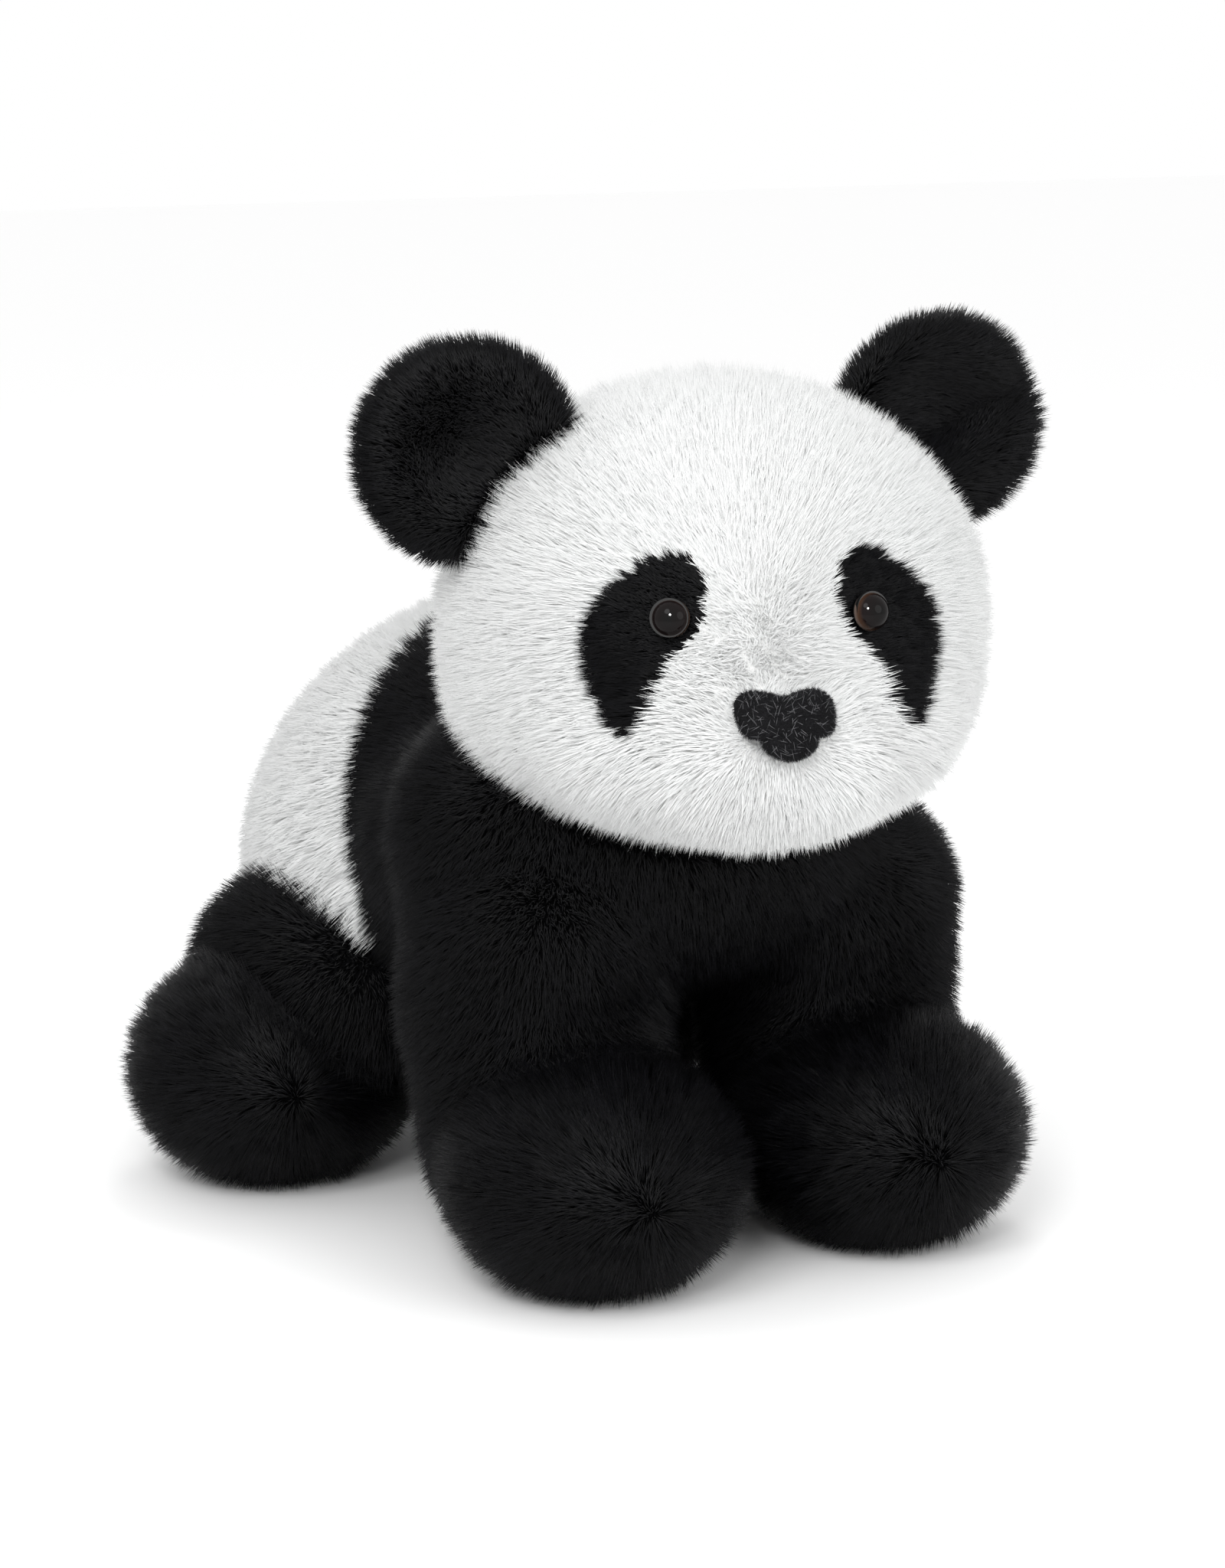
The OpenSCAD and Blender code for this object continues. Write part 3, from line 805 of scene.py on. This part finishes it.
def make_ears():
    for word, side in SIDES.items():
        hinge = JOINTS[f"{word}_ear_fold"]
        rise = math.radians(34)
        out = HEAD_MATRIX @ np.array((side * math.cos(rise), 0, math.sin(rise)))
        ahead = HEAD_MATRIX @ np.array((0, -1.0, 0))
        across = np.cross(ahead, out)
        axes = np.stack([across, -ahead, out], 1)
        centre = np.array(hinge["pos_m"]) + out * (13 if side < 0 else 12) * MM
        centre += ahead * (24 if side < 0 else -8) * MM
        centre += np.array((0, 0, 0) if side < 0 else (-2, 0, 4)) * MM
        thick = 12 * MM
        skin = sewn(f"{word}_ear_skin", [
            lambda m: ball(m, centre, np.array((EAR_RADIUS - 6 * MM, thick, EAR_RADIUS - 6 * MM)), axes)],
            cuts=[lambda m: ball(m, from_head((0, 0, 0)), HEAD_RADII - 3 * MM, HEAD_MATRIX)], rounding=2)
        points = positions(skin)
        local = (points - centre) @ axes
        # The front is cupped, and its rim rolls forward.
        reach = np.hypot(local[:, 0], local[:, 2]) / EAR_RADIUS
        front = local[:, 1] < 0
        local[:, 1] += np.where(front, 12 * MM * np.exp(-(reach / 0.5) ** 2),
                                3 * MM * np.exp(-(reach / 0.6) ** 2))
        local[:, 1] -= 7 * MM * reach ** 3
        if side > 0:
            # This ear is folded along its middle.
            local[:, 1] += (6 * MM * np.exp(-((local[:, 0] + 5 * MM) / (9 * MM)) ** 2)
                            - 14 * MM * np.clip(local[:, 0] / EAR_RADIUS, 0, 1) ** 2)
        points = local @ axes.T + centre
        move_to(skin, points)
        cover = fade(outside(points, HEAD, HEAD_RADII - 6 * MM, HEAD_MATRIX), 4 * MM)
        flow = (points - (centre - out * 46 * MM))
        flow /= np.linalg.norm(flow, axis=1, keepdims=True)
        groom(skin, cover, 0.9 + 0.2 * np.clip(reach, 0, 1), flow * 0.8)
        faces_front = (middles(skin) - centre) @ axes[:, 1] < 0
        for part, keep in (("front", faces_front), ("back", ~faces_front)):
            plush = panel(skin, f"{word}_ear_{part}_plush", keep)
            dress(plush, BLACK_BACKING, "black plush", f"{word}_ear", f"{word}_ear_{part}", fill=0.5)
            dress(grow_pile(f"{word}_ear_{part}_pile", plush, BLACK_PILE, 14000, 9 * MM, lean=0.25, seed=13),
                  None, "black plush", f"{word}_ear")
        bpy.data.objects.remove(skin)


# Torso and arms ------------------------------------------------------------------------------------

TILT = turned(-TRUNK_TILT, "X")
# The head's seat, the hips' and the feet's room, as deep as their backings need
SEAT = SEAT_RADII - BACKING + 1 * MM
HAUNCH_RADII = np.array((46, 64, 41)) * MM
# The arm's pile turns from the chest's to the arm's between these heights.
ARM_HEM = 0.122


def hip_at(side):
    return np.array((side * HIP.x, HIP.y, HIP.z))


def haunch_at(side):
    return hip_at(side) + np.array((side * 4, -5, -5)) * MM


def foot_at(side):
    return FOOT_AT * np.array((side, 1, 1))


def paw_at(side):
    # The left paw is set a little inwards.
    return PAW_AT * np.array((side, 1, 1)) - np.array((max(side, 0) * 7 * MM, 0, 0))


def shoulder_at(side):
    return np.array((side * SHOULDER.x, SHOULDER.y, SHOULDER.z))


def flat_soles(points):
    """The floor presses the underside flat."""
    points[:, 2] = np.maximum(points[:, 2], 1.5 * MM)
    return points


def lie_clear_of_floor(points, flow):
    """Strands near the floor lean outwards and up, not into it."""
    near = 1 - fade(points[:, 2] - 2 * MM, 16 * MM)
    flow[:, 2] += near * 1.1
    return flow


def paw_flow(points, centre, radii, lean_out):
    """On a paw the pile spreads from the middle of its face."""
    face = centre + np.array((lean_out, -radii[1] * 0.9, -3 * MM))
    spread = points - face
    return spread / np.maximum(np.linalg.norm(spread, axis=1, keepdims=True), 1e-6)


def make_torso_and_arms():
    trunk = sewn("trunk_skin", [
        lambda m: ball(m, TRUNK, TRUNK_RADII - BACKING + np.array((2, 1, 1)) * MM, TILT),
        lambda m: ball(m, CHEST + Vector((-11, 0, 0)) * MM,
                       CHEST_RADII - BACKING - np.array((10, 0, 0)) * MM),
        lambda m: ball(m, (0, TRUNK.y - 75 * MM, 138 * MM), np.array((97, 60, 60)) * MM),
        lambda m: ball(m, CHEST + Vector((0, -20, -2)) * MM, np.array((72, 50, 48)) * MM),
    ], cuts=[lambda m: box_between(m, (-0.3, SHOULDER.y - 0.3, -0.1), (0.3, SHOULDER.y + 0.050, 0.088))],
        rounding=24)
    mesh = bmesh.new()
    mesh.from_mesh(trunk.data)
    bpy.data.objects.remove(trunk)
    for side in SIDES.values():
        top, paw = shoulder_at(side), paw_at(side)
        ball(mesh, top, (SHOULDER_R - BACKING,) * 3)
        # The upper arm fills the fold below the chest, so that the front is one slope.
        ball(mesh, top + np.array((-side * 3, -3, 26)) * MM, np.array((47, 47, 40)) * MM)
        wrist = (paw[0], (paw[1] + 2 * top[1]) / 3, 46 * MM)
        tube(mesh, top, wrist, 49 * MM - BACKING)
    upper = finish_skin(object_of("upper_skin", mesh), 60)
    mesh = bmesh.new()
    mesh.from_mesh(upper.data)
    bpy.data.objects.remove(upper)
    for side in SIDES.values():
        ball(mesh, paw_at(side), PAW_RADII - BACKING)
    skin = finish_skin(object_of("body_skin", mesh), 10)
    skin = hollow(skin, [lambda m: ball(m, HEAD, SEAT)]
                  + [lambda m, s=s: ball(m, haunch_at(s), HAUNCH_RADII + 1.5 * MM) for s in SIDES.values()]
                  + [lambda m, s=s: ball(m, foot_at(s), FOOT_RADII - 2 * MM) for s in SIDES.values()]
                  + [lambda m: ball(m, TAIL, TAIL_RADII - 3 * MM)])
    points = flat_soles(positions(skin))
    move_to(skin, points)
    n = normals(skin)
    x, _, z = points.T
    cover = fade(outside(points, HEAD, SEAT), 4 * MM)
    cover *= fade(outside(points, TAIL, TAIL_RADII - 3 * MM), 3 * MM)
    flow = np.tile((0.0, 0.1, -0.6), (len(points), 1))
    pile = np.ones(len(points))
    for side in SIDES.values():
        cover *= fade(outside(points, haunch_at(side), HAUNCH_RADII + 1.5 * MM), 3 * MM)
        cover *= fade(outside(points, foot_at(side), FOOT_RADII - 2 * MM), 3 * MM)
        on_paw = 1 - fade(outside(points, paw_at(side), PAW_RADII - BACKING + 1 * MM), 4 * MM)
        on_paw = on_paw * (x * side > 0)
        flow += on_paw[:, None] * (paw_flow(points, paw_at(side), PAW_RADII, 0) * 0.9 - flow)
    sole = (n[:, 2] < -0.5) & (z < 4 * MM)
    pile[sole] = 0.12
    groom(skin, cover, pile, lie_clear_of_floor(points, flow))

    at = middles(skin)
    on_arm = (at[:, 2] < ARM_HEM) & (at[:, 1] < SHOULDER.y + 0.049)
    on_arm &= (np.abs(at[:, 0]) > 12 * MM) | (at[:, 2] < 0.090)
    # The seam between black and white leans back towards the nape.
    black = (at[:, 1] < YOKE_SEAM + np.maximum((at[:, 2] - 0.15) * 0.5, -14 * MM)) & ~on_arm
    yoke = panel(skin, "shoulder_plush", black)
    dress(yoke, BLACK_BACKING, "black plush", "torso", "shoulder_cover", "torso_stuffing", fill=0.85)
    dress(grow_pile("shoulder_pile", yoke, BLACK_PILE, 62000, 10 * MM, lean=0.3, seed=21),
          None, "black plush", "torso")
    back = panel(skin, "back_plush", ~black & ~on_arm)
    dress(back, WHITE_BACKING, "white plush", "torso", "back_cover", fill=0.85)
    for layer, (length, seed) in enumerate(((11 * MM, 23), (9.5 * MM, 24))):
        dress(grow_pile(f"back_pile_{layer + 1}", back, WHITE_PILE, 45000, length, width=0.36 * MM, lean=0.5,
                        seed=seed),
              None, "white plush", "torso")
    for word, side in SIDES.items():
        arm = on_arm & (at[:, 0] * side > 0)
        on_paw = outside(at, paw_at(side), PAW_RADII - BACKING + 1.5 * MM) < 0
        body = f"{word}_arm"
        sleeve = panel(skin, f"{word}_sleeve_plush", arm & ~on_paw)
        paw = panel(skin, f"{word}_paw_plush", arm & on_paw)
        sleeve_pile = grow_pile(f"{word}_sleeve_pile", sleeve, BLACK_PILE, 26000, 10 * MM, lean=0.3, seed=31)
        paw_pile = grow_pile(f"{word}_paw_pile", paw, BLACK_PILE, 32000, 13 * MM, tuft=6 * MM, seed=33)
        for piece, material in ((sleeve, BLACK_BACKING), (sleeve_pile, None)):
            if material is not None:
                piece.data.materials.clear()
                piece.data.materials.append(material)
            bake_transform(piece)
        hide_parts(f"{word}_sleeve", f"{word}_sleeve_stuffing")
        dress(paw, BLACK_BACKING, "black plush", body, f"{word}_paw_cover", f"{word}_paw_sole",
              f"{word}_paw_stuffing", fill=0.9)
        dress(paw_pile, None, "black plush", body)
    bpy.data.objects.remove(skin)


# Hind legs ----------------------------------------------------------------------------------------

def make_hind_leg(word, side):
    body = f"{word}_leg"
    skin = sewn(f"{body}_skin", [lambda m: ball(m, haunch_at(side), HAUNCH_RADII),
                                 lambda m: ball(m, foot_at(side), FOOT_RADII - BACKING)], rounding=12)
    points = flat_soles(positions(skin))
    move_to(skin, points)
    n = normals(skin)
    cover = fade(outside(points, TRUNK, TRUNK_RADII - 16 * MM, TILT), 6 * MM)
    pile = np.where((n[:, 2] < -0.5) & (points[:, 2] < 4 * MM), 0.12, 1.0)
    on_foot = 1 - fade(outside(points, foot_at(side), FOOT_RADII - BACKING + 1 * MM), 4 * MM)[:, None]
    flow = paw_flow(points, foot_at(side), FOOT_RADII, side * 10 * MM) * 0.9 * on_foot
    flow += np.array((side * 0.2, 0.0, -0.7)) * (1 - on_foot)
    groom(skin, cover, pile, lie_clear_of_floor(points, flow))
    keep = outside(middles(skin), foot_at(side), FOOT_RADII - BACKING + 1.5 * MM) < 0
    haunch, foot = panel(skin, f"{word}_haunch_plush", ~keep), panel(skin, f"{word}_foot_plush", keep)
    dress(haunch, BLACK_BACKING, "black plush", body, f"{word}_haunch", f"{word}_haunch_stuffing", fill=0.85)
    dress(foot, BLACK_BACKING, "black plush", body, f"{word}_foot_cover", f"{word}_foot_sole",
          f"{word}_foot_stuffing", fill=0.9)
    dress(grow_pile(f"{word}_haunch_pile", haunch, BLACK_PILE, 9000, 11 * MM, seed=51),
          None, "black plush", body)
    dress(grow_pile(f"{word}_foot_pile", foot, BLACK_PILE, 32000, 13 * MM, tuft=6 * MM, seed=53),
          None, "black plush", body)
    bpy.data.objects.remove(skin)


def make_tail():
    skin = sewn("tail_plush", [lambda m: ball(m, TAIL, TAIL_RADII - 5 * MM)], rounding=2)
    points = positions(skin)
    flow = points - np.array(TAIL) + np.array((0, -20, 0)) * MM
    flow /= np.linalg.norm(flow, axis=1, keepdims=True)
    cover = fade(outside(points, TRUNK, TRUNK_RADII - 12 * MM, TILT), 4 * MM)
    groom(skin, cover, np.ones(len(points)), flow * 0.6)
    dress(skin, WHITE_BACKING, "white plush", "tail", "tail_cover", "tail_stuffing", fill=0.7)
    dress(grow_pile("tail_pile", skin, WHITE_PILE, 6000, 10 * MM, seed=41), None, "white plush", "tail")


# Inner pieces, seen only where the coat parts ------------------------------------------------------

def plastic(name, colour, roughness):
    finish = Finish(name)
    coords = finish.node("ShaderNodeTexCoord")
    grain = finish.node("ShaderNodeTexNoise")
    grain.inputs["Scale"].default_value = 2500
    finish.link(coords.outputs["Object"], grain.inputs["Vector"])
    bump = finish.node("ShaderNodeBump")
    bump.inputs["Strength"].default_value = 0.1
    bump.inputs["Distance"].default_value = 0.0001
    finish.link(grain.outputs["Fac"], bump.inputs["Height"])
    finish.link(bump.outputs["Normal"], finish.shader.inputs["Normal"])
    finish.set(Base_Color=(*colour, 1), Roughness=roughness)
    return finish.material


def finish_inner_pieces():
    shank = plastic("shank_plastic", (0.01, 0.01, 0.01), 0.3)
    washer = plastic("washer_plastic", (0.8, 0.8, 0.78), 0.5)
    paints = {"eye_shank": shank, "eye_washer": washer}
    for name, node in frame["nodes"].items():
        for ending, material in paints.items():
            if name.endswith(ending):
                node.data.materials.clear()
                node.data.materials.append(material)


def make_neck():
    """Wadding that fills the narrow space between the head and its seat in the shoulders."""
    wadding = sewn("neck_wadding", [lambda m: ball(m, HEAD, SEAT - 0.6 * MM)], cuts=[
        lambda m: ball(m, HEAD, SEAT - 4.6 * MM),
        lambda m: box_between(m, (-0.3, -0.4, HEAD.z - 0.070), (0.3, 0.3, 0.5))], rounding=0)
    fibre = backing_finish("loose_fibre", (0.85, 0.85, 0.84), (0.7, 0.7, 0.69))
    dress(wadding, fibre, "polyester fibre", "neck", "neck_stuffing", fill=0.5)


# Studio -----------------------------------------------------------------------------------------

def direction(azimuth, elevation):
    """Unit vector at these degrees, where azimuth 0 is straight ahead of the panda."""
    a, e = math.radians(azimuth), math.radians(elevation)
    return Vector((math.sin(a) * math.cos(e), -math.cos(a) * math.cos(e), math.sin(e)))


def make_studio():
    scene = bpy.context.scene
    scene.view_settings.view_transform = "Standard"
    floor_mesh = bmesh.new()
    bmesh.ops.create_grid(floor_mesh, x_segments=1, y_segments=1, size=6)
    floor = object_of("studio_floor", floor_mesh)
    paper = Finish("studio_paper")
    paper.set(Base_Color=(0.98, 0.98, 0.98, 1), Roughness=0.9)
    floor.data.materials.append(paper.material)

    world = bpy.data.worlds.new("studio_world")
    scene.world = world
    world.use_nodes = True
    world.node_tree.nodes["Background"].inputs["Color"].default_value = (1.0, 1.0, 1.0, 1)
    world.node_tree.nodes["Background"].inputs["Strength"].default_value = 1.0

    target = Vector((0, -0.03, 0.16))
    for name, azimuth, elevation, distance, size, watts in (
            ("key_light", -55, 45, 1.6, 0.7, 6.0), ("fill_light", 25, 20, 1.8, 1.2, 6),
            ("rim_light", 150, 60, 1.6, 0.6, 3), ("front_light", -35, 31, 1.3, 0.3, 3.0),
            ("catch_light", -33, 29, 1.3, 0.2, 40)):
        light = bpy.data.lights.new(name, "AREA")
        light.shape, light.size, light.energy = "DISK", size, watts
        lamp = bpy.data.objects.new(name, light)
        lamp.location = target + distance * direction(azimuth, elevation)
        lamp.rotation_euler = (target - lamp.location).to_track_quat("-Z", "Y").to_euler()
        scene.collection.objects.link(lamp)
        if name == "catch_light":
            # A small, strong lamp for the eyes alone: on the pile it would be too bright.
            eyes = bpy.data.collections.new("catch_light_receivers")
            for piece in [o for o in scene.collection.all_objects if o.name.endswith("_eye_ball")]:
                eyes.objects.link(piece)
            lamp.light_linking.receiver_collection = eyes

    data = bpy.data.cameras.new("camera")
    data.sensor_fit, data.sensor_width, data.sensor_height = "AUTO", 36, 36
    data.lens = 86.9
    camera = bpy.data.objects.new("camera", data)
    look_at = Vector((-0.010, CHEST.y + 0.0234, 0.158))
    camera.location = look_at + 1.4 * direction(-28, 12)
    camera.rotation_euler = (look_at - camera.location).to_track_quat("-Z", "Y").to_euler()
    scene.collection.objects.link(camera)
    scene.camera = camera


make_head()
make_eyes()
make_nose()
make_ears()
make_torso_and_arms()
for side_word, side_sign in SIDES.items():
    make_hind_leg(side_word, side_sign)
make_tail()
make_neck()
finish_inner_pieces()
make_studio()
